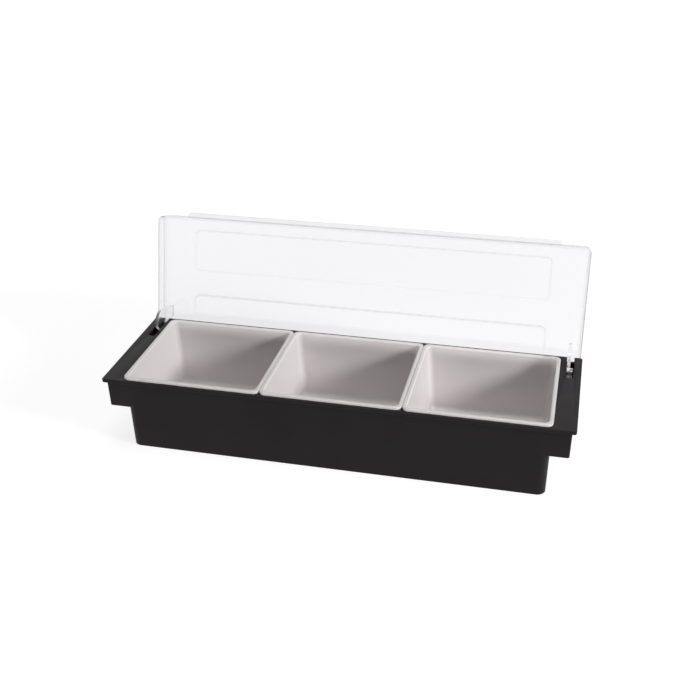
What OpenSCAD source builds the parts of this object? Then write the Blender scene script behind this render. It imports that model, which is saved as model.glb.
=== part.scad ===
// Bar-top condiment caddy: a dark base, three lift-out trays and one clear hinged lid.
// Millimetres. Z is up, X runs along the length, the front faces -Y.
// The origin is the centre of the base's underside. The lid is drawn fully open.

/* [Base] */
// Length over the flange
base_len = 495; // [485:1:520]
// Depth over the flange
base_dep = 151; // [148:0.5:158]
// Height to the top of the flange
base_h = 82.5; // [80:0.5:92]
// Flange thickness
flange_t = 4; // [3:0.5:4.5]
// Flange overhang past the skirt at each end
end_over = 4; // [3.4:0.1:5]
// Flange overhang past the skirt at front and rear
side_over = 3; // [2:0.1:4]
// Width of the stepped box at each end
step_w = 19.3; // [19:0.1:20]
// Height of the step above the underside
step_z = 48.5; // [44:0.5:54]
// Wall draft, millimetres of lean per millimetre of height
draft = 0.02; // [0.01:0.005:0.03]
// Tub wall and floor thickness
wall = 2.6; // [2:0.1:3]
// Radius of the tub's upright corners
tub_r = 9; // [6:0.5:12]

/* [Trays] */
// Flange left showing at the ends, beside the row of trays
end_show = 22.8; // [22.8:0.1:25]
// Gap between neighbouring rims
tray_gap = 0.4; // [0.4:0.1:1]
// Flange left showing in front of the trays
front_show = 3.2; // [3:0.1:3.4]
// Flange left showing behind the trays
rear_show = 6.9; // [6.6:0.1:7.4]
// Reach of the rim past the outside of the tray walls
rim_w = 2.6; // [2.4:0.1:3]
// Rim thickness
rim_t = 2.7; // [2:0.1:2.8]
// Corner radius of the rim's outline
rim_r = 6.5; // [5:0.1:8]
// Height of the trays' undersides above the table
tray_foot = 7.5; // [5:0.5:20]
// Tray wall thickness
tray_wall = 1.8; // [1.6:0.1:2.2]
// Radius inside the trays' corners and along their floor
tray_r = 6; // [5:0.5:10]
// Lean of the tray walls in degrees
tray_lean = 4.5; // [3:0.1:6]

/* [Lid] */
// Hood height, rim to top panel
hood_h = 16.4; // [15.5:0.1:18]
// Hood wall thickness
hood_wall = 2.2; // [2:0.1:2.3]
// Top panel thickness
panel_t = 2.4; // [2:0.1:2.6]
// Distance from each end of the hood to the finger lip
lip_end = 30.2; // [20:0.1:140]
// Finger lip reach past the hood's front
lip_reach = 4.4; // [3:0.1:8]
// Distance from each end of the hood to the embossed panels
pad_end = 40.3; // [25:0.1:90]
// Height of the embossed panels
pad_h = 1.5; // [1:0.1:2.4]
// Opening angle of the lid, degrees
lid_angle = 104.7; // [0:0.1:104.7]
// Hinge rod diameter
rod_d = 5; // [4:0.5:5.5]
// Radial play between rod and knuckle
rod_play = 0.05; // [0.02:0.01:0.1]

/* [Hidden] */
// Node list and selector
// Skirt half sizes at the flange top level
sk_x = base_len / 2 - end_over;
sk_y = base_dep / 2 - side_over;
// Tub half length at flange top level if it kept the skirt's draft
tub_x = sk_x - step_w;
// Flat inner faces of the end boxes
box_x = sk_x - draft * flange_t - wall;
box_y = sk_y - draft * flange_t - wall;
// Tub half length outside and inside just under the flange
neck_x = tub_x + 0.8;
open_x = neck_x - wall;
// Opening in the flange, front and rear edges
open_y0 = -sk_y + 2.4;
open_y1 = sk_y - 6.1;
// Tray rim and body sizes, three rims filling the length that the base leaves them
tray_pitch = (base_len - 2 * end_show) / 3;
tray_len = tray_pitch - tray_gap;
tray_dep = base_dep - front_show - rear_show;
tray_drop = base_h - tray_foot;
tray_cy = (rear_show - front_show) / -2;
lean = tan(tray_lean);
// Hinge axis, the same values the moving joint uses
hinge_y = base_dep / 2 - 15.2;
hinge_z = base_h - 11.9;
// Slot in each end of the flange
slot_x1 = box_x - 2;
slot_x0 = slot_x1 - 7.6;
slot_y0 = hinge_y - 30.8;
// Hinge arms of the lid
arm_x0 = slot_x0 + 0.5;
arm_t = 3.4;
knuckle_x1 = slot_x1 - 0.8;
knuckle_r = rod_d / 2 + 3.1;
// Lid, drawn closed and then turned
lid_x = base_len / 2 - 2;
lid_y0 = -base_dep / 2 + 0.5;
lid_y1 = base_dep / 2 - 0.5;
lid_z0 = base_h + 0.2;
lid_z1 = lid_z0 + hood_h;
relief_r = sqrt(pow(base_dep / 2 - hinge_y, 2) + pow(base_h - hinge_z, 2)) + 0.3;
lip_w = 2 * (lid_x - lip_end);
pad_len = 2 * (lid_x - pad_end);
slack = 0.02;

// Upright prism with rounded corners between two corners in plan
module rprism(x0, x1, y0, y1, z0, z1, r) {
    translate([0, 0, z0])
        linear_extrude(z1 - z0)
            union() {
                translate([x0 + r, y0])
                    square([x1 - x0 - 2 * r, y1 - y0]);
                translate([x0, y0 + r])
                    square([x1 - x0, y1 - y0 - 2 * r]);
                for (x = [x0 + r, x1 - r], y = [y0 + r, y1 - r])
                    translate([x, y])
                        circle(r = r, $fn = 48);
            }
}

// Four thin corner discs, the building block of the drafted hulls
module slab(x0, x1, y0, y1, z, r) {
    for (x = [x0 + r, x1 - r], y = [y0 + r, y1 - r])
        translate([x, y, z])
            cylinder(r = r, h = slack, $fn = 32);
}

// Drafted skirt outside the tub, walls leaning in towards the step
module skirt_outer() {
    hull() {
        slab(-sk_x + draft * flange_t, sk_x - draft * flange_t,
             -sk_y + draft * flange_t, sk_y - draft * flange_t, base_h - flange_t, 2.2);
        slab(-sk_x + draft * (base_h - step_z), sk_x - draft * (base_h - step_z),
             -sk_y + draft * (base_h - step_z), sk_y - draft * (base_h - step_z), step_z, 2.2);
    }
}

// Half sizes of the tub below the step at height z
function low_x(z) = tub_x - draft * (base_h - z);
function low_y(z) = sk_y - draft * (base_h - z) - 0.05;

// Lower tub with a softened foot
module tub_lower() {
    hull() {
        slab(-low_x(0) + 0.7, low_x(0) - 0.7, -low_y(0) + 0.7, low_y(0) - 0.7, 0, tub_r - 0.7);
        slab(-low_x(1), low_x(1), -low_y(1), low_y(1), 0.9, tub_r);
        slab(-low_x(step_z + 2), low_x(step_z + 2),
             -low_y(step_z + 2), low_y(step_z + 2), step_z + 2, tub_r);
    }
}

// Neck of the tub inside the end boxes, leaning out to meet the flange
module tub_neck() {
    hull() {
        slab(-low_x(step_z), low_x(step_z), -box_y - 1.4, box_y + 1.4, step_z - 3, tub_r);
        slab(-neck_x, neck_x, -box_y - 1.4, box_y + 1.4, base_h - flange_t, tub_r);
    }
}

// Hollow of the lower tub
module tub_lower_hollow() {
    hull() {
        slab(-low_x(0) + wall, low_x(0) - wall, -low_y(0) + wall, low_y(0) - wall, wall + 0.4,
             tub_r - wall);
        slab(-low_x(step_z) + wall, low_x(step_z) - wall,
             -box_y + 0.6, box_y - 0.6, step_z + 0.6, tub_r - wall);
    }
}

// Hollow of the neck
module tub_neck_hollow() {
    hull() {
        slab(-low_x(step_z) + wall, low_x(step_z) - wall,
             -box_y + 0.6, box_y - 0.6, step_z, tub_r - wall);
        slab(-open_x, open_x, -box_y, box_y, base_h - flange_t, tub_r - wall);
    }
}

// Inner cheek and rod of one hinge, on the +X side
module hinge_seat() {
    translate([slot_x0 - 2.5, hinge_y - 7.3, hinge_z - 6.6])
        cube([2.5, 14.7, base_h - flange_t - hinge_z + 6.6 + 1]);
    translate([slot_x0 - 2.5, hinge_y, hinge_z])
        rotate([0, 90, 0])
            cylinder(d = rod_d, h = box_x - slot_x0 + 3.5, $fn = 64);
}

// Slot through the flange for one hinge arm, on the +X side
module arm_slot() {
    translate([slot_x0, slot_y0, base_h - flange_t])
        cube([slot_x1 - slot_x0, base_dep, flange_t + 1]);
}

module base() {
    color([0.03, 0.03, 0.03])
        difference() {
            union() {
                rprism(-base_len / 2, base_len / 2, -base_dep / 2, base_dep / 2,
                       base_h - flange_t, base_h, 2.8);
                difference() {
                    skirt_outer();
                    translate([-box_x, -box_y, step_z - 1])
                        cube([2 * box_x, 2 * box_y, base_h - flange_t - step_z + 1]);
                }
                tub_neck();
                tub_lower();
                hinge_seat();
                mirror([1, 0, 0])
                    hinge_seat();
            }
            tub_neck_hollow();
            tub_lower_hollow();
            rprism(-open_x, open_x, open_y0, open_y1, base_h - flange_t - 0.5, base_h + 1,
                   tub_r - wall);
            arm_slot();
            mirror([1, 0, 0])
                arm_slot();
        }
}

// One tray, centred on x = 0
module tray() {
    hx = tray_len / 2 - rim_w;
    hy = tray_dep / 2 - rim_w;
    zb = base_h - tray_drop;
    fall = lean * tray_drop;
    ix = hx - tray_wall;
    iy = hy - tray_wall;
    ro = tray_r + tray_wall;
    ri = tray_r;
    translate([0, tray_cy, 0])
        difference() {
            union() {
                rprism(-hx - rim_w, hx + rim_w, -hy - rim_w, hy + rim_w,
                       base_h, base_h + rim_t, rim_r);
                hull() {
                    slab(-hx, hx, -hy, hy, base_h + rim_t / 2, ro);
                    for (x = [-1, 1], y = [-1, 1])
                        translate([x * (hx - fall - ro), y * (hy - fall - ro), zb + ro])
                            sphere(r = ro, $fn = 32);
                }
            }
            hull() {
                slab(-ix - lean, ix + lean, -iy - lean, iy + lean, base_h + rim_t + 1, ri + lean);
                for (x = [-1, 1], y = [-1, 1])
                    translate([x * (ix - fall - ri), y * (iy - fall - ri),
                               zb + tray_wall + ri])
                        sphere(r = ri, $fn = 32);
            }
        }
}

module tray_left() {
    color([0.92, 0.91, 0.9])
        translate([-tray_pitch, 0, 0])
            tray();
}

module tray_middle() {
    color([0.92, 0.91, 0.9])
        tray();
}

module tray_right() {
    color([0.92, 0.91, 0.9])
        translate([tray_pitch, 0, 0])
            tray();
}

// Outer block of the hood, closed position
module hood_outer() {
    hull() {
        slab(-lid_x, lid_x, lid_y0, lid_y1, lid_z0, 6);
        slab(-lid_x + 0.3, lid_x - 0.3, lid_y0 + 0.3, lid_y1 - 0.3, lid_z1 - 2.6, 6);
        slab(-lid_x + 1, lid_x - 1, lid_y0 + 1, lid_y1 - 1, lid_z1 - 0.9, 5.3);
        slab(-lid_x + 2.4, lid_x - 2.4, lid_y0 + 2.4, lid_y1 - 2.4, lid_z1 - slack, 3.9);
    }
}

// Hollow of the hood
module hood_inner() {
    w = hood_wall;
    hull() {
        slab(-lid_x + w, lid_x - w, lid_y0 + w, lid_y1 - w, lid_z0 - 1, 3.6);
        slab(-lid_x + w + 0.3, lid_x - w - 0.3, lid_y0 + w + 0.3, lid_y1 - w - 0.3,
             lid_z1 - panel_t - 1.4, 3.4);
        slab(-lid_x + w + 1.4, lid_x - w - 1.4, lid_y0 + w + 1.4, lid_y1 - w - 1.4,
             lid_z1 - panel_t - slack, 2.4);
    }
}

// One embossed panel, shrunk by g all round and moved up by dz
module pad(y0, y1, g, z0, z1) {
    rprism(-pad_len / 2 + g, pad_len / 2 - g, y0 + g, y1 - g, z0, z1, 6 - g);
}

// Side view of a hinge arm about the hinge axis, closed position
module arm_profile() {
    polygon([
        [-28.7, -11.6], [-28.7, 12.8], [-36.3, lid_z1 - panel_t - hinge_z + 0.5],
        [-15.8, lid_z1 - panel_t - hinge_z + 0.5], [-12.2, 12.1], [-10.2, 4.8],
        [-3.2, 4.4], [0, 0], [-3.4, -4.2], [-7.6, -15.1], [-9.4, -18.6], [-12.4, -20.3],
        [-20.6, -20.5], [-25.6, -15.9]
    ]);
}

// One hinge arm with its snap-on knuckle, on the +X side
module arm() {
    difference() {
        union() {
            translate([arm_x0, hinge_y, hinge_z])
                rotate([90, 0, 90])
                    linear_extrude(arm_t)
                        arm_profile();
            translate([arm_x0, hinge_y, hinge_z])
                rotate([0, 90, 0])
                    cylinder(r = knuckle_r, h = knuckle_x1 - arm_x0, $fn = 64);
        }
        translate([arm_x0 - 1, hinge_y, hinge_z])
            rotate([0, 90, 0])
                cylinder(r = rod_d / 2 + rod_play, h = knuckle_x1 - arm_x0 + 2, $fn = 64);
        translate([arm_x0 - 1, hinge_y, hinge_z - 0.42 * rod_d])
            cube([knuckle_x1 - arm_x0 + 2, knuckle_r + 1, 0.84 * rod_d]);
    }
}

module lid_closed() {
    dep = lid_y1 - lid_y0;
    front0 = lid_y0 + 0.102 * dep;
    front1 = lid_y0 + 0.42 * dep;
    rear0 = lid_y0 + 0.614 * dep;
    rear1 = lid_y1 - 0.12 * dep;
    difference() {
        union() {
            hood_outer();
            rprism(-lip_w / 2, lip_w / 2, lid_y0 - lip_reach, lid_y0 + 12,
                   lid_z1 - panel_t, lid_z1 - 0.2, 5);
            pad(front0, front1, 0, lid_z1 - 1, lid_z1 + pad_h);
            pad(rear0, rear1, 0, lid_z1 - 1, lid_z1 + pad_h);
        }
        hood_inner();
        pad(front0, front1, panel_t - 0.2, lid_z1 - panel_t - 1, lid_z1 - panel_t + pad_h);
        pad(rear0, rear1, panel_t - 0.2, lid_z1 - panel_t - 1, lid_z1 - panel_t + pad_h);
        translate([-lid_x - 1, hinge_y, hinge_z])
            rotate([0, 90, 0])
                cylinder(r = relief_r, h = 2 * lid_x + 2, $fn = 96);
        translate([-lid_x - 1, hinge_y, hinge_z])
            cube([2 * lid_x + 2, base_dep, relief_r]);
    }
    arm();
    mirror([1, 0, 0])
        arm();
}

module lid() {
    color([0.93, 0.94, 0.96, 0.3])
        translate([0, hinge_y, hinge_z])
            rotate([-lid_angle, 0, 0])
                translate([0, -hinge_y, -hinge_z])
                    lid_closed();
}

base();
tray_left();
tray_middle();
tray_right();
lid();
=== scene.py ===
"""A bar-top condiment caddy: dark stepped base, three white lift-out trays and one clear flip lid."""
import math

import bmesh
import bpy
import numpy as np
from mathutils import Matrix, Vector


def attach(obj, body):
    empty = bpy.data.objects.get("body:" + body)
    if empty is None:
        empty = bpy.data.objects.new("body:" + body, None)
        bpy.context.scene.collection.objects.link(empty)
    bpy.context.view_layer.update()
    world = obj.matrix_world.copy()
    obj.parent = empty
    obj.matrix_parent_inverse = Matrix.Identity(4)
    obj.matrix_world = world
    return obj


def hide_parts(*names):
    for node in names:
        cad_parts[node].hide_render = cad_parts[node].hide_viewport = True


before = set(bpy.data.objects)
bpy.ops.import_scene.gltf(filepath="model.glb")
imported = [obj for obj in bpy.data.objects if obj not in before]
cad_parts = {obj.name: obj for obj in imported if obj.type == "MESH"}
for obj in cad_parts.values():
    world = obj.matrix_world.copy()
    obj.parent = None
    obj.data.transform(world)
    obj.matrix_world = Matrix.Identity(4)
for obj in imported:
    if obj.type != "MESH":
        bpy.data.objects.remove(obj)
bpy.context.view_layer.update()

# ---------------------------------------------------------------------------------------------
# Base
# One injection moulding in near-black plastic: a tub with a stepped hollow box at each end, all
# hung from a flat rim flange. The hinge rods are moulded in, under a slot at each rear corner.
# ---------------------------------------------------------------------------------------------
# The pieces are worked out in millimetres. A name that ends in _X or _Y is a half size or a place.
MM = 0.001
BASE_X, BASE_Y, BASE_Z = 247.5, 75.5, 82.5
FLANGE_T, FLANGE_CORNER, FLANGE_EDGE = 4.0, 2.8, 0.7
DRAFT, WALL, STEP_Z, STEP_W = 0.02, 2.6, 48.5, 19.3
END_OVER, SIDE_OVER = 4.0, 3.0
SKIRT_X, SKIRT_Y = BASE_X - END_OVER, BASE_Y - SIDE_OVER
SKIRT_CORNER, LEAST_CORNER, SKIRT_EDGE, SKIRT_TOP = 2.2, 0.3, 1.1, BASE_Z - FLANGE_T + 0.1
TUB_X, TUB_CORNER, FOOT_R, FILLET_R, FLOOR_TOP = SKIRT_X - STEP_W, 9.0, 0.8, 4.0, 3.0
# The tub stands a hair proud of the skirt, so that their faces never lie in one plane.
TUB_PROUD = 0.03
NECK_X, NECK_TOP, NECK_LEAN = TUB_X + 0.8, BASE_Z - 3, 0.6
BOX_X = SKIRT_X - DRAFT * FLANGE_T - WALL
BOX_Y = SKIRT_Y - DRAFT * FLANGE_T - WALL
OPENING_FRONT, OPENING_REAR = -SKIRT_Y + 2.4, SKIRT_Y - 6.1
HINGE_Y, HINGE_Z, ROD_R, ROD_SUNK = BASE_Y - 15.2, BASE_Z - 11.9, 2.5, 1.0
SLOT_IN, SLOT_OUT, SLOT_FRONT, SLOT_CORNER = BOX_X - 9.6, BOX_X - 2, HINGE_Y - 30.8, 1.2
CHEEK_T, CHEEK_FRONT, CHEEK_REAR, CHEEK_LOW, CHEEK_CORNER = 2.5, 7.3, 7.4, 6.6, 2.0


def rings(half_x, half_y, z, radius, steps=14, mid_y=0.0):
    """Stacked rounded rectangles. Each corner is its centre plus the radius times the cosine and
    sine of an angle that runs through 90 degrees; every argument may hold one value per ring."""
    values = map(np.atleast_1d, (half_x, half_y, z, radius))
    half_x, half_y, z, radius = np.broadcast_arrays(*values)
    quarter = np.linspace(0, math.pi / 2, steps + 1)
    angle = np.concatenate([quarter + k * math.pi / 2 for k in range(4)])
    side_x = np.repeat([1, -1, -1, 1], steps + 1)
    side_y = np.repeat([1, 1, -1, -1], steps + 1)
    r = radius[:, None]
    x = side_x * (half_x[:, None] - r) + r * np.cos(angle)
    y = side_y * (half_y[:, None] - r) + r * np.sin(angle) + mid_y
    return np.stack([x, y, np.broadcast_to(z[:, None], x.shape)], axis=-1)


def skin(points, closed_profile=False):
    """Quads between neighbouring rows of a rows x columns grid whose columns close on themselves.
    The first and last row are capped, unless the profile closes on itself as well."""
    rows, cols = points.shape[:2]
    index = np.arange(rows * cols).reshape(rows, cols)
    if closed_profile:
        index = np.vstack([index, index[:1]])
    ahead = np.roll(index, -1, axis=1)
    quads = np.stack([index[:-1], ahead[:-1], ahead[1:], index[1:]], axis=-1)
    faces = quads.reshape(-1, 4).tolist()
    if not closed_profile:
        faces += [index[0][::-1].tolist(), index[-1].tolist()]
    return points.reshape(-1, 3), faces


def arc(cx, cy, radius, start, end, steps=8):
    """Points on a circle: centre plus radius times cosine and sine, from start to end degrees."""
    a = np.radians(np.linspace(start, end, steps + 1))
    return np.stack([cx + radius * np.cos(a), cy + radius * np.sin(a)], axis=-1)


def prism(outline, low, high):
    """A side outline of Y and Z pushed along X from low to high: both ends keep its shape."""
    n = len(outline)
    ends = [np.column_stack([np.full(n, x), outline]) for x in (low, high)]
    k = np.arange(n)
    walls = np.stack([k, np.roll(k, -1), np.roll(k, -1) + n, k + n], axis=-1).tolist()
    return np.vstack(ends), walls + [k[::-1].tolist(), (k + n).tolist()]


def gather(name, shells, sharp=35, finishes=None):
    """One mesh object, in metres, from several closed shells given in millimetres. Normals are
    turned outwards shell by shell, and edges under the sharp angle are shaded smooth. Finishes
    holds each shell's material number, where there is more than one."""
    whole = bmesh.new()
    for (points, faces), finish in zip(shells, finishes or [0] * len(shells)):
        part = bpy.data.meshes.new(name)
        part.from_pydata((np.asarray(points) * MM).tolist(), [], faces)
        part.polygons.foreach_set("material_index", [finish] * len(part.polygons))
        shell = bmesh.new()
        shell.from_mesh(part)
        bmesh.ops.remove_doubles(shell, verts=shell.verts, dist=1e-7)
        bmesh.ops.recalc_face_normals(shell, faces=shell.faces)
        shell.to_mesh(part)
        shell.free()
        whole.from_mesh(part)
        bpy.data.meshes.remove(part)
    mesh = bpy.data.meshes.new(name)
    whole.to_mesh(mesh)
    whole.free()
    obj = bpy.data.objects.new(name, mesh)
    bpy.context.scene.collection.objects.link(obj)
    mesh.shade_smooth()
    mesh.set_sharp_from_angle(angle=math.radians(sharp))
    return obj


def plate(outlines, low, high, edge):
    """A plate cut to flat outlines, the first round the outside and the rest holes: a filled flat
    curve, given its thickness and a round edge, and turned into a mesh."""
    curve = bpy.data.curves.new("plate", "CURVE")
    curve.dimensions = "2D"
    curve.fill_mode = "BOTH"
    curve.extrude = (high - low) / 2 - edge
    curve.bevel_depth = edge
    curve.bevel_resolution = 2
    curve.offset = -edge
    for line in outlines:
        spline = curve.splines.new("POLY")
        spline.points.add(len(line) - 1)
        spots = np.column_stack([line, np.zeros(len(line)), np.ones(len(line))])
        spline.points.foreach_set("co", spots.ravel())
        spline.use_cyclic_u = True
    holder = bpy.data.objects.new("plate", curve)
    bpy.context.scene.collection.objects.link(holder)
    finished = holder.evaluated_get(bpy.context.evaluated_depsgraph_get())
    mesh = bpy.data.meshes.new_from_object(finished)
    points = np.empty(len(mesh.vertices) * 3)
    mesh.vertices.foreach_get("co", points)
    faces = [list(p.vertices) for p in mesh.polygons]
    bpy.data.objects.remove(holder)
    bpy.data.meshes.remove(mesh)
    return points.reshape(-1, 3) + (0, 0, (low + high) / 2), faces


def low_x(z):
    """Half length of the tub below the step: it leans in by the draft times the drop."""
    return TUB_X - DRAFT * (BASE_Z - z)


def low_y(z):
    """Half depth of the tub and skirt at height z, by the same draft."""
    return SKIRT_Y - DRAFT * (BASE_Z - z)


# Tub: foot rounding, drafted wall, neck inside the end boxes, then the hollow and its floor.
turn = np.radians(np.linspace(0, 90, 7))
foot_in = FOOT_R * (1 - np.sin(turn))
foot_z = FOOT_R * (1 - np.cos(turn))
fillet_in = FILLET_R * (1 - np.sin(turn[::-1]))
fillet_z = FLOOR_TOP + FILLET_R * (1 - np.cos(turn[::-1]))
inner_corner = TUB_CORNER - WALL
neck_x = [low_x(STEP_Z), NECK_X, NECK_X - WALL, low_x(STEP_Z) - WALL]
neck_y = [low_y(STEP_Z), low_y(NECK_TOP), BOX_Y, BOX_Y - NECK_LEAN]
tub_x = np.concatenate([low_x(foot_z) - foot_in, neck_x, low_x(fillet_z) - WALL - fillet_in])
tub_y = np.concatenate([low_y(foot_z) - foot_in, neck_y, low_y(fillet_z) - WALL - fillet_in])
tub_z = np.concatenate([foot_z, [STEP_Z, NECK_TOP, NECK_TOP, STEP_Z], fillet_z])
tub_r = np.concatenate([TUB_CORNER - foot_in, [TUB_CORNER, TUB_CORNER, inner_corner, inner_corner],
                        inner_corner - fillet_in])
tub = skin(rings(tub_x, tub_y + TUB_PROUD, tub_z, tub_r))

# Skirt: a closed band with softened lower edges, open inside at both ends.
edge = np.radians(np.linspace(0, 90, 5))
edge_sin, edge_cos = SKIRT_EDGE * (1 - np.sin(edge)), SKIRT_EDGE * (1 - np.cos(edge))
skirt_in = np.concatenate([[0], edge_cos, WALL - edge_sin, [WALL]])
skirt_z = np.concatenate([[SKIRT_TOP], STEP_Z + edge_sin, STEP_Z + edge_cos, [SKIRT_TOP]])
skirt_lean = DRAFT * (BASE_Z - skirt_z) + skirt_in
skirt_r = np.maximum(SKIRT_CORNER - skirt_in, LEAST_CORNER)
skirt = skin(rings(SKIRT_X - skirt_lean, SKIRT_Y - skirt_lean, skirt_z, skirt_r), closed_profile=True)

# Flange: outer edge with a slot running out of the rear edge at each end, and the tray opening.
corner_x, corner_y = BASE_X - FLANGE_CORNER, BASE_Y - FLANGE_CORNER
slot_end = SLOT_FRONT + SLOT_CORNER
right = np.vstack([
    arc(corner_x, -corner_y, FLANGE_CORNER, -90, 0),
    arc(corner_x, corner_y, FLANGE_CORNER, 0, 90),
    [[SLOT_OUT, BASE_Y]],
    arc(SLOT_OUT - SLOT_CORNER, slot_end, SLOT_CORNER, 0, -90, 4),
    arc(SLOT_IN + SLOT_CORNER, slot_end, SLOT_CORNER, -90, -180, 4),
    [[SLOT_IN, BASE_Y]]])
outside = np.vstack([right, (right * (-1, 1))[::-1]])
opening_y = (OPENING_REAR - OPENING_FRONT) / 2
opening_mid = (OPENING_REAR + OPENING_FRONT) / 2
opening = rings(NECK_X - WALL, opening_y, 0, inner_corner, steps=8, mid_y=opening_mid)[0, ::-1, :2]
flange = plate([outside, opening], BASE_Z - FLANGE_T, BASE_Z, FLANGE_EDGE)

# Hinge seats: a hanging cheek and the rod that the lid snaps on to, at both ends.
cheek_low = HINGE_Z - CHEEK_LOW + CHEEK_CORNER
cheek = np.vstack([
    [[HINGE_Y + CHEEK_REAR, NECK_TOP], [HINGE_Y - CHEEK_FRONT, NECK_TOP]],
    arc(HINGE_Y - CHEEK_FRONT + CHEEK_CORNER, cheek_low, CHEEK_CORNER, 180, 270, 5),
    arc(HINGE_Y + CHEEK_REAR - CHEEK_CORNER, cheek_low, CHEEK_CORNER, 270, 360, 5)])
rod = arc(HINGE_Y, HINGE_Z, ROD_R, 0, 360, 40)[:-1]
seats = []
for side in (-1, 1):
    seats.append(prism(cheek, side * (SLOT_IN - CHEEK_T), side * SLOT_IN))
    seats.append(prism(rod, side * (SLOT_IN - ROD_SUNK), side * (BOX_X + ROD_SUNK)))

base_shell = gather("base_shell", [tub, skirt, flange, *seats])


def plastic(name, colour, roughness, specular=0.5):
    """A moulded plastic: a principled surface with a plain colour, gloss and specular level."""
    mat = bpy.data.materials.new(name)
    mat.use_nodes = True
    nodes, links = mat.node_tree.nodes, mat.node_tree.links
    surface = nodes["Principled BSDF"]
    surface.inputs["Base Color"].default_value = (*colour, 1)
    surface.inputs["Roughness"].default_value = roughness
    surface.inputs["Specular IOR Level"].default_value = specular
    return mat, nodes, links, surface


def noise(nodes, links, scale, detail=3.0):
    """A noise pattern on Object coordinates, scale cells to the metre."""
    place = nodes.new("ShaderNodeTexCoord")
    pattern = nodes.new("ShaderNodeTexNoise")
    pattern.inputs["Scale"].default_value = scale
    pattern.inputs["Detail"].default_value = detail
    links.new(place.outputs["Object"], pattern.inputs["Vector"])
    return pattern.outputs["Fac"]


def spread(nodes, links, value, to, source=(0.3, 0.7)):
    """Maps a value from one range to another. Noise patterns mostly keep to the source range that
    is used where none is named."""
    span = nodes.new("ShaderNodeMapRange")
    span.inputs["From Min"].default_value, span.inputs["From Max"].default_value = source
    span.inputs["To Min"].default_value, span.inputs["To Max"].default_value = to
    links.new(value, span.inputs["Value"])
    return span.outputs["Result"]


def bump(nodes, links, pattern, distance, strength, surface):
    """Raises the surface by the pattern times the distance in metres."""
    raised = nodes.new("ShaderNodeBump")
    raised.inputs["Distance"].default_value = distance
    raised.inputs["Strength"].default_value = strength
    links.new(pattern, raised.inputs["Height"])
    links.new(raised.outputs["Normal"], surface.inputs["Normal"])


# Near-black, matt, with a fine moulded grain and slightly uneven gloss.
black, nodes, links, surface = plastic("black_plastic", (0.0105, 0.0079, 0.0096), 0.5, 0.15)
patches = noise(nodes, links, 25)
links.new(spread(nodes, links, patches, (0.44, 0.56)), surface.inputs["Roughness"])
bump(nodes, links, noise(nodes, links, 1400), 0.0001, 0.6, surface)
base_shell.data.materials.append(black)
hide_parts("base")
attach(base_shell, "base")

# ---------------------------------------------------------------------------------------------
# Trays
# Three equal white lift-out trays, thin glossy mouldings with leaning walls, a rounded inside
# and a flat rim. Each hangs by its rim on the flange's front and rear edges.
# ---------------------------------------------------------------------------------------------
END_SHOW, FRONT_SHOW, REAR_SHOW, TRAY_GAP = 22.8, 3.2, 6.9, 0.4
PITCH = 2 * (BASE_X - END_SHOW) / 3
RIM_X, RIM_Y = (PITCH - TRAY_GAP) / 2, BASE_Y - (FRONT_SHOW + REAR_SHOW) / 2
TRAY_Y = (FRONT_SHOW - REAR_SHOW) / 2
RIM_W, RIM_T, RIM_CORNER, RIM_EDGE, RIM_UNDER_EDGE, SEAT_GAP = 2.6, 2.7, 6.5, 0.4, 0.2, 0.02
# Where the rim's underside ends and the wall begins: insets past RIM_W, drop from BASE_Z, corners.
ROOT_IN, ROOT_DROP, ROOT_CORNERS = (-0.2, 0.1), 0.6, (7.0, 7.5)
TRAY_WALL, TRAY_FOOT, ROUND_IN, ROLL, ROLL_EASE, TRAY_LEAN = 1.8, 7.5, 6.0, 1.4, 0.4, 4.5
TRAY_FALL = math.tan(math.radians(TRAY_LEAN)) * (BASE_Z - TRAY_FOOT)

# White and glossy, with a faint unevenness from moulding.
white, nodes, links, surface = plastic("white_plastic", (0.75, 0.713, 0.713), 0.22)
swirl = noise(nodes, links, 40, 2)
links.new(spread(nodes, links, swirl, (0.18, 0.26)), surface.inputs["Roughness"])
bump(nodes, links, noise(nodes, links, 220, 1), 0.00005, 0.15, surface)


def tray_shell(middle_x):
    """A profile carried round a rounded rectangle: inside floor, fillet, leaning wall, rounded
    rim, then back down the outside to the foot. Insets count from the rim's outer edge."""
    up = np.radians(np.linspace(88, 0, 10))
    roll = np.radians(np.linspace(0, 90, 9))
    nose = np.radians(np.linspace(0, 90, 6))
    top, seat = BASE_Z + RIM_T, BASE_Z + SEAT_GAP
    inner = RIM_W + TRAY_WALL
    centre = inner + TRAY_FALL + ROUND_IN
    wall_low = TRAY_FOOT + TRAY_WALL + ROUND_IN
    outer_r = ROUND_IN + TRAY_WALL
    inset = np.concatenate([
        centre - ROUND_IN * np.cos(up),
        inner - ROLL * (1 - np.cos(roll)),
        RIM_EDGE * (1 - np.sin(nose)),
        RIM_UNDER_EDGE * (1 - np.cos(nose)),
        RIM_W + np.array(ROOT_IN),
        centre - outer_r * np.cos(up[::-1])])
    z = np.concatenate([
        wall_low - ROUND_IN * np.sin(up),
        top - ROLL * (1 - np.sin(roll)),
        top - RIM_EDGE * (1 - np.cos(nose)),
        seat + RIM_UNDER_EDGE * (1 - np.sin(nose)),
        [seat, BASE_Z - ROOT_DROP],
        wall_low - outer_r * np.sin(up[::-1])])
    radius = np.concatenate([
        ROUND_IN * np.cos(up),
        ROUND_IN - ROLL_EASE * np.sin(roll),
        np.full(2 * len(nose), RIM_CORNER),
        ROOT_CORNERS,
        outer_r * np.cos(up[::-1])])
    points = rings(RIM_X - inset, RIM_Y - inset, z, radius, steps=16, mid_y=TRAY_Y)
    return skin(points + (middle_x, 0, 0))


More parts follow.
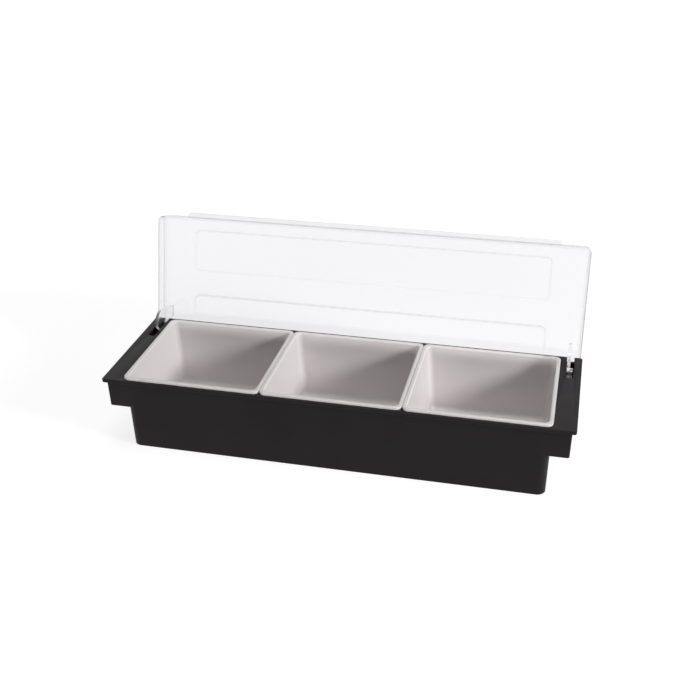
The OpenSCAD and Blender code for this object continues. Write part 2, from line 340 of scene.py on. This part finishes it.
for name, step in (("tray_left", -1), ("tray_middle", 0), ("tray_right", 1)):
    tray = gather(name + "_shell", [tray_shell(step * PITCH)], sharp=40)
    tray.data.materials.append(white)
    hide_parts(name)
    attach(tray, name)

# ---------------------------------------------------------------------------------------------
# Lid
# A clear hood in one moulding: shallow walls, a top panel with two embossed fields and a finger
# lip, and two arms that reach through the flange slots and snap on to the rods. Worked out shut,
# then turned to the open position.
# ---------------------------------------------------------------------------------------------
LID_X, LID_FRONT, LID_REAR = BASE_X - 2, -BASE_Y + 0.5, BASE_Y - 0.5
LID_RIM, LID_TOP = BASE_Z + 0.2, BASE_Z + 16.6
HOOD_WALL, PANEL_T, LEAN, HOOD_CORNER, INNER_CORNER = 2.2, 2.4, 0.3, 6.0, 2.2
EDGE_R, INNER_EDGE_R = 1.2, 1.4
# Rows of points round an edge and down a wall. Down the wall they lie at even steps to this power.
EDGE_ROWS, WALL_ROWS, WALL_POWER = 10, 8, 0.8
# The embossed fields: half length, height, corners, width of the slope round them, how much
# smaller they are on the underside, and their near and far ends as shares of the lid's depth.
LID_DEEP = LID_REAR - LID_FRONT
PAD_X, PAD_H, PAD_R, PAD_SLOPE, PAD_SHRINK = LID_X - 40.3, 1.5, 6.0, 3.5, 0.4
PADS = ((0.102, 0.42), (0.614, 0.88))
LIP_X, LIP_REACH, LIP_R, LIP_CORNER = LID_X - 30.2, 4.4, 1.2, 5.0
# How far out the lip's upper face starts and its lower face ends.
LIP_START, LIP_END = 1.0, EDGE_R + 0.05
RELIEF = math.hypot(BASE_Y - HINGE_Y, BASE_Z - HINGE_Z) + 0.3
OPEN_ANGLE = math.radians(-104.7)
KNUCKLE_R, BORE_R, MOUTH = ROD_R + 3.1, ROD_R + 0.05, 2.1
ARM_PLAY, ARM_T, KNUCKLE_PLAY = 0.5, 3.4, 0.8
# Grid lines across the panel in runs of (start, end, count), close where the fields' edges slope
# and where the lip ends. X runs from the middle, Y from the front edge.
LINES_X = ((0, 195, 7), (197.2, 207.2, 18), (209.5, 216, 10), (222, 232, 3))
LINES_Y = ((11, 13.4, 2), (13.4, 23, 17), (30, 48, 3), (55.2, 64.8, 17), (70, 86, 3),
           (90.3, 99.9, 17), (106, 118, 3), (124.2, 133.8, 17), (136, 141, 3))


def spaced(runs):
    """Grid lines from runs of (start, end, count), each run evenly spaced, ends shared once."""
    return np.unique(np.concatenate([np.linspace(*run) for run in runs]).round(6))


def pad_height(x, y, shrink):
    """How far the panel is raised at a point: a smooth step across the outline of each embossed
    field, whose distance is that to a rounded rectangle shrunk by the given amount."""
    raised = 0 * x
    for near, far in PADS:
        y0, y1 = LID_FRONT + near * LID_DEEP, LID_FRONT + far * LID_DEEP
        past_x = np.abs(x) - (PAD_X - shrink - PAD_R)
        past_y = np.abs(y - (y0 + y1) / 2) - ((y1 - y0) / 2 - shrink - PAD_R)
        outside = np.hypot(np.maximum(past_x, 0), np.maximum(past_y, 0))
        inside = np.minimum(np.maximum(past_x, past_y), 0)
        t = np.clip(0.5 - (outside + inside - PAD_R) / PAD_SLOPE, 0, 1)
        raised = raised + PAD_H * t * t * (3 - 2 * t)
    return raised


def inset_panel(inset, corner):
    """The hood's plan drawn in by an inset, with its corner radius."""
    return dict(half_x=LID_X - inset, front=LID_FRONT + inset, rear=LID_REAR - inset, corner=corner)


def panel_grid(half_x, front, rear, corner, z, shrink):
    """The top panel as a grid over length and depth. In each corner square the grid is bent to a
    quarter disc by x times the root of one minus half y squared, and the same for y."""
    part = np.linspace(0, 1, 7)
    xs = np.concatenate([spaced(LINES_X), half_x - corner + corner * part])
    xs = np.concatenate([-xs[:0:-1], xs])
    ys = np.concatenate([front + corner * (1 - part[::-1]), spaced(LINES_Y) + LID_FRONT,
                         rear - corner + corner * part])
    x, y = np.meshgrid(xs, ys)
    mid = (front + rear) / 2
    u = np.clip((np.abs(x) - (half_x - corner)) / corner, 0, 1)
    v = np.clip((np.abs(y - mid) - ((rear - front) / 2 - corner)) / corner, 0, 1)
    x = x + np.sign(x) * corner * u * (np.sqrt(1 - v * v / 2) - 1)
    y = y + np.sign(y - mid) * corner * v * (np.sqrt(1 - u * u / 2) - 1)
    return np.stack([x, y, z + pad_height(x, y, shrink)], axis=-1)


def border(rows, cols):
    """The indices of a grid's outermost points, once round."""
    k = np.arange(rows * cols).reshape(rows, cols)
    return np.concatenate([k[0, :-1], k[:-1, -1], k[-1, :0:-1], k[:0:-1, 0]])


def outward(edge, half_x, front, rear, corner):
    """Unit vectors in plan that point away from the nearest point of the corner-centre box."""
    mid, deep = (front + rear) / 2, (rear - front) / 2 - corner
    core_x = np.clip(edge[:, 0], -half_x + corner, half_x - corner)
    core_y = np.clip(edge[:, 1], mid - deep, mid + deep)
    away = edge[:, :2] - np.column_stack([core_x, core_y])
    return away / np.linalg.norm(away, axis=1, keepdims=True)


def rim_height(y):
    """The hood's lower edge: flat, but round the hinge it follows a circle that clears the flange
    as the lid turns, and behind the hinge it stays at that circle's top."""
    rise = np.sqrt(np.clip(RELIEF ** 2 - (y - HINGE_Y) ** 2, 0, None))
    return np.where(y > HINGE_Y, HINGE_Z + RELIEF, np.maximum(LID_RIM, HINGE_Z + rise))


def with_lip(off, drop, x, away_y):
    """Draws a rounded edge out to the finger lip, a tongue with a half-round nose. The share is one
    along the lip and falls to zero along a quarter circle at each of its ends."""
    nose = np.radians(np.concatenate([[0], np.linspace(0, 180, EDGE_ROWS - 2), [180]]))[:, None]
    lip_off = EDGE_R + LIP_REACH - LIP_R + LIP_R * np.sin(nose)
    lip_off[0], lip_off[-1] = LIP_START, LIP_END
    lip_drop = LIP_R * (1 - np.cos(nose))
    past = np.clip(np.abs(x) - LIP_X + LIP_CORNER, 0, LIP_CORNER)
    reach = LIP_REACH - LIP_CORNER + np.sqrt(np.clip(LIP_CORNER ** 2 - past ** 2, 0, None))
    at_front = (away_y < -0.5) & (np.abs(x) < LIP_X)
    share = np.where(at_front, np.clip(reach / LIP_REACH, 0, 1), 0)
    return off * (1 - share) + lip_off * share, drop * (1 - share) + lip_drop * share


def hood_wall(grid, loop, plan, r, panel_z, lip):
    """Rows of points from a panel's border outward and down: a quarter round of radius r, drawn
    out to the lip where there is one, then the leaning wall to the rim."""
    edge = grid.reshape(-1, 3)[loop]
    away = outward(edge, **plan)
    phi = np.radians(np.linspace(0, 90, EDGE_ROWS + 1))[1:, None]
    off = r * np.sin(phi) + 0 * edge[:, 0]
    drop = r * (1 - np.cos(phi)) + 0 * edge[:, 0]
    if lip:
        off, drop = with_lip(off, drop, edge[:, 0], away[:, 1])
    rim = rim_height(edge[:, 1] + away[:, 1] * (r + LEAN))
    fall = np.linspace(0, 1, WALL_ROWS + 1)[1:, None] ** WALL_POWER
    z_wall = panel_z - r
    z_low = z_wall + (rim - z_wall) * fall
    off = np.vstack([off, r + LEAN * (z_wall - z_low) / (z_wall - LID_RIM)])
    z = np.vstack([edge[:, 2] - drop, z_low])
    return np.stack([edge[:, 0] + away[:, 0] * off, edge[:, 1] + away[:, 1] * off, z], axis=-1)


def hood():
    """The whole hood as one closed skin: outer panel, rounded edge with the finger lip, outer
    wall, rim, inner wall and inner panel. Both panels have equally many points, so rows match."""
    outer = inset_panel(LEAN + EDGE_R, HOOD_CORNER - EDGE_R)
    inner = inset_panel(HOOD_WALL + LEAN + INNER_EDGE_R, INNER_CORNER)
    under_z = LID_TOP - PANEL_T
    top = panel_grid(z=LID_TOP, shrink=0.0, **outer)
    under = panel_grid(z=under_z, shrink=PAD_SHRINK, **inner)
    rows, cols = top.shape[:2]
    loop = border(rows, cols)
    outside = hood_wall(top, loop, outer, EDGE_R, LID_TOP, lip=True)
    inside = hood_wall(under, loop, inner, INNER_EDGE_R, under_z, lip=False)
    n_grid, n_loop, n_rows = rows * cols, len(loop), EDGE_ROWS + WALL_ROWS
    k = np.arange(n_grid).reshape(rows, cols)
    patch = np.stack([k[:-1, :-1], k[:-1, 1:], k[1:, 1:], k[1:, :-1]], axis=-1).reshape(-1, 4)
    wall_rows = 2 * n_grid + np.arange(2 * n_rows * n_loop).reshape(2, n_rows, n_loop)
    chain = np.vstack([loop, wall_rows[0], wall_rows[1][::-1], loop + n_grid])
    ahead = np.roll(chain, -1, axis=1)
    band = np.stack([chain[:-1], ahead[:-1], ahead[1:], chain[1:]], axis=-1).reshape(-1, 4)
    points = np.vstack([part.reshape(-1, 3) for part in (top, under, outside, inside)])
    return points, np.vstack([patch, patch + n_grid, band]).tolist()


def arm_outline():
    """Side outline of an arm about the hinge axis: round the knuckle, out along the arm to the
    panel and back, then round the bore, whose mouth faces away from the arm."""
    mouth = math.degrees(math.asin(MOUTH / KNUCKLE_R))
    throat = math.degrees(math.asin(MOUTH / BORE_R))
    top = LID_TOP - PANEL_T - HINGE_Z
    arm = [[-10.2, 4.8], [-12.2, 12.1], [-15.8, top], [-27.5, top], [-28.7, 12.8], [-28.7, -11.6],
           [-25.6, -15.9], [-20.6, -20.5], [-12.4, -20.3], [-9.4, -18.6], [-7.6, -15.1]]
    outline = [arc(0, 0, KNUCKLE_R, mouth, 125, 16), arm, arc(0, 0, KNUCKLE_R, 240, 360 - mouth, 20),
               arc(0, 0, BORE_R, 360 - throat, throat, 36)]
    return np.vstack(outline) + (HINGE_Y, HINGE_Z)


def turned(points, angle):
    """Points turned about the hinge axis: y and z mix by the angle's cosine and sine."""
    y, z = points[:, 1] - HINGE_Y, points[:, 2] - HINGE_Z
    c, s = math.cos(angle), math.sin(angle)
    return np.column_stack([points[:, 0], HINGE_Y + y * c - z * s, HINGE_Z + y * s + z * c])


# The part of each knuckle beside its arm: a C of the same radii, its mouth in degrees either way.
ring_mouth, ring_throat = 22.1, 55.4
ring = np.vstack([arc(HINGE_Y, HINGE_Z, KNUCKLE_R, ring_mouth, 360 - ring_mouth, 40),
                  arc(HINGE_Y, HINGE_Z, BORE_R, 360 - ring_throat, ring_throat, 36)])
lid_parts = [hood()]
for side in (-1, 1):
    arm_in = SLOT_IN + ARM_PLAY
    arm_out = arm_in + ARM_T
    lid_parts.append(prism(arm_outline(), side * arm_in, side * arm_out))
    lid_parts.append(prism(ring, side * arm_out, side * (SLOT_OUT - KNUCKLE_PLAY)))
opened = [(turned(points, OPEN_ANGLE), faces) for points, faces in lid_parts]
lid_shell = gather("lid_shell", opened, sharp=50, finishes=[0, 1, 1, 1, 1])

# How sharply the skin bends: one on the rolled edges and the rim, and by the slope on the fields.
spots = np.empty(3 * len(lid_shell.data.vertices))
lid_shell.data.vertices.foreach_get("co", spots)
x, y, z = turned(spots.reshape(-1, 3) / MM, -OPEN_ANGLE).T
slope = pad_height(x, y, PAD_SHRINK / 2) / PAD_H
EDGE_ZONE, EDGE_DEPTH, RIM_ZONE = 4.5, 1.5, 0.4
middle = (np.abs(x) < LID_X - EDGE_ZONE) & (y > LID_FRONT + EDGE_ZONE) & (y < LID_REAR - EDGE_ZONE)
rolled = ~middle & (z > LID_TOP - PANEL_T - EDGE_DEPTH)
bend = np.where(middle, np.sqrt(slope * (1 - slope)) * 2, 0)
bend = np.where(rolled | (z < rim_height(y) + RIM_ZONE), 1, bend)
lid_shell.data.attributes.new("bend", "FLOAT", "POINT").data.foreach_set("value", bend)


def clear_plastic(name, tint, roughness):
    """A water-clear moulded plastic with very slight waves, which light passes through."""
    mat, nodes, links, surface = plastic(name, tint, roughness)
    surface.inputs["Transmission Weight"].default_value = 1.0
    surface.inputs["IOR"].default_value = 1.49
    bump(nodes, links, noise(nodes, links, 30, 1), 0.0002, 0.05, surface)
    return mat, nodes, links, surface


# The hood is glossy on the flat and rougher where it bends. The arms are a little rough all over, and
# though they are the hood's own plastic they are tinted paler: painted light that keeps them from reading
# dark.
hood_clear, nodes, links, surface = clear_plastic("clear_plastic", (0.888, 0.880, 0.896), 0.06)
bends = nodes.new("ShaderNodeAttribute")
bends.attribute_name = "bend"
rougher = spread(nodes, links, bends.outputs["Fac"], (0.06, 0.34), source=(0, 1))
links.new(rougher, surface.inputs["Roughness"])
arms_painted_lighter = clear_plastic("clear_plastic_arms", (0.99, 0.985, 0.995), 0.15)[0]
lid_shell.data.materials.append(hood_clear)
lid_shell.data.materials.append(arms_painted_lighter)
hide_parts("lid")
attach(lid_shell, "lid")

# ---------------------------------------------------------------------------------------------
# Room
# A plain white table top as the floor, which keeps a soft shadow. Faint even light all round and
# three softboxes.
# ---------------------------------------------------------------------------------------------
# From here on sizes and places are in metres.
FLOOR_HALF, FLOOR_Z, FLOOR_GREY = 9, -0.0002, 0.3
# The floor's glow rises from the first value to the second between these distances.
GLOW, GLOW_REACH = (0.85, 0.95), (0.45, 1.4)
# The room's brightness as a light, and where it is seen or mirrored.
SKY = (0.03, 1.0)


def seen_directly(nodes, links):
    """One where a surface is met by the camera, a mirror ray or a ray through glass, else zero."""
    path = nodes.new("ShaderNodeLightPath")
    total = path.outputs["Is Camera Ray"]
    for ray in ("Is Glossy Ray", "Is Transmission Ray"):
        larger = nodes.new("ShaderNodeMath")
        larger.operation = "MAXIMUM"
        links.new(total, larger.inputs[0])
        links.new(path.outputs[ray], larger.inputs[1])
        total = larger.outputs[0]
    return total


corners = [(sx * FLOOR_HALF, sy * FLOOR_HALF, FLOOR_Z) for sx, sy in ((-1, -1), (1, -1), (1, 1), (-1, 1))]
floor_mesh = bpy.data.meshes.new("table")
floor_mesh.from_pydata(corners, [], [(0, 1, 2, 3)])
floor = bpy.data.objects.new("table", floor_mesh)
bpy.context.scene.collection.objects.link(floor)
floor_white = bpy.data.materials.new("table_white")
floor_white.use_nodes = True
nodes, links = floor_white.node_tree.nodes, floor_white.node_tree.links
nodes.remove(nodes["Principled BSDF"])
matt = nodes.new("ShaderNodeBsdfDiffuse")
matt.inputs["Color"].default_value = (FLOOR_GREY, FLOOR_GREY, FLOOR_GREY, 1)
place = nodes.new("ShaderNodeTexCoord")
away = nodes.new("ShaderNodeVectorMath")
away.operation = "LENGTH"
links.new(place.outputs["Object"], away.inputs[0])
level = nodes.new("ShaderNodeMath")
level.operation = "MULTIPLY"
links.new(seen_directly(nodes, links), level.inputs[0])
links.new(spread(nodes, links, away.outputs["Value"], GLOW, source=GLOW_REACH), level.inputs[1])
glow = nodes.new("ShaderNodeEmission")
links.new(level.outputs[0], glow.inputs["Strength"])
both = nodes.new("ShaderNodeAddShader")
links.new(matt.outputs[0], both.inputs[0])
links.new(glow.outputs[0], both.inputs[1])
links.new(both.outputs[0], nodes["Material Output"].inputs["Surface"])
floor_mesh.materials.append(floor_white)

room = bpy.data.worlds.new("room")
bpy.context.scene.world = room
room.use_nodes = True
nodes, links = room.node_tree.nodes, room.node_tree.links
sky = nodes["Background"]
sky.inputs["Color"].default_value = (1, 1, 1, 1)
strength = spread(nodes, links, seen_directly(nodes, links), SKY, source=(0, 1))
links.new(strength, sky.inputs["Strength"])


def softbox(name, towards, distance, level, spread_degrees, mirrored=True):
    """A round softbox aimed at the caddy. Its width is twice the distance times the tangent of half
    its spread, and its power is pi times the distance squared times the level wanted there. One
    that isn't mirrored lights surfaces without showing in their gloss."""
    aim_height = 0.08
    lamp = bpy.data.lights.new(name, "AREA")
    lamp.shape = "DISK"
    lamp.size = 2 * distance * math.tan(math.radians(spread_degrees / 2))
    lamp.energy = math.pi * distance ** 2 * level
    obj = bpy.data.objects.new(name, lamp)
    obj.location = Vector(towards).normalized() * distance + Vector((0, 0, aim_height))
    obj.rotation_euler = Vector(towards).to_track_quat("Z", "Y").to_euler()
    obj.visible_glossy = mirrored
    obj.visible_transmission = mirrored
    bpy.context.scene.collection.objects.link(obj)


softbox("side", (0.873, -0.271, 0.405), 2.0, 2.4, 14)
softbox("overhead", (0.05, 0.1, 0.98), 6.0, 1.15, 30)
softbox("front", (-0.1, -0.99, 0.0), 6.0, 2.3, 12, mirrored=False)

# ---------------------------------------------------------------------------------------------
# Camera
# Stands in front and to the right, looking down and a little to the left across the caddy.
# ---------------------------------------------------------------------------------------------
# Turns are in radians, the focal length in pixels of a square frame, the sensor in millimetres.
CAMERA_YAW, CAMERA_DOWN, CAMERA_ROLL = 0.236152, 0.494366, -0.013662
CAMERA_PLACE = (0.231012, -0.935406, 0.624272)
FOCAL_PIXELS, FRAME_PIXELS, SENSOR = 1030.42, 700, 36

along = math.cos(CAMERA_DOWN)
forward = Vector((-math.sin(CAMERA_YAW) * along, math.cos(CAMERA_YAW) * along, -math.sin(CAMERA_DOWN)))
level_right = Vector((math.cos(CAMERA_YAW), math.sin(CAMERA_YAW), 0))
level_up = level_right.cross(forward)
right_axis = math.cos(CAMERA_ROLL) * level_right + math.sin(CAMERA_ROLL) * level_up
up_axis = math.cos(CAMERA_ROLL) * level_up - math.sin(CAMERA_ROLL) * level_right
turn_to_view = Matrix((right_axis, up_axis, -forward)).transposed().to_4x4()
lens = bpy.data.cameras.new("camera")
lens.sensor_width = SENSOR
lens.lens = FOCAL_PIXELS * SENSOR / FRAME_PIXELS
lens.clip_end = 60
camera = bpy.data.objects.new("camera", lens)
camera.matrix_world = Matrix.Translation(CAMERA_PLACE) @ turn_to_view
bpy.context.scene.collection.objects.link(camera)
bpy.context.scene.camera = camera
bpy.context.scene.view_settings.view_transform = "Standard"
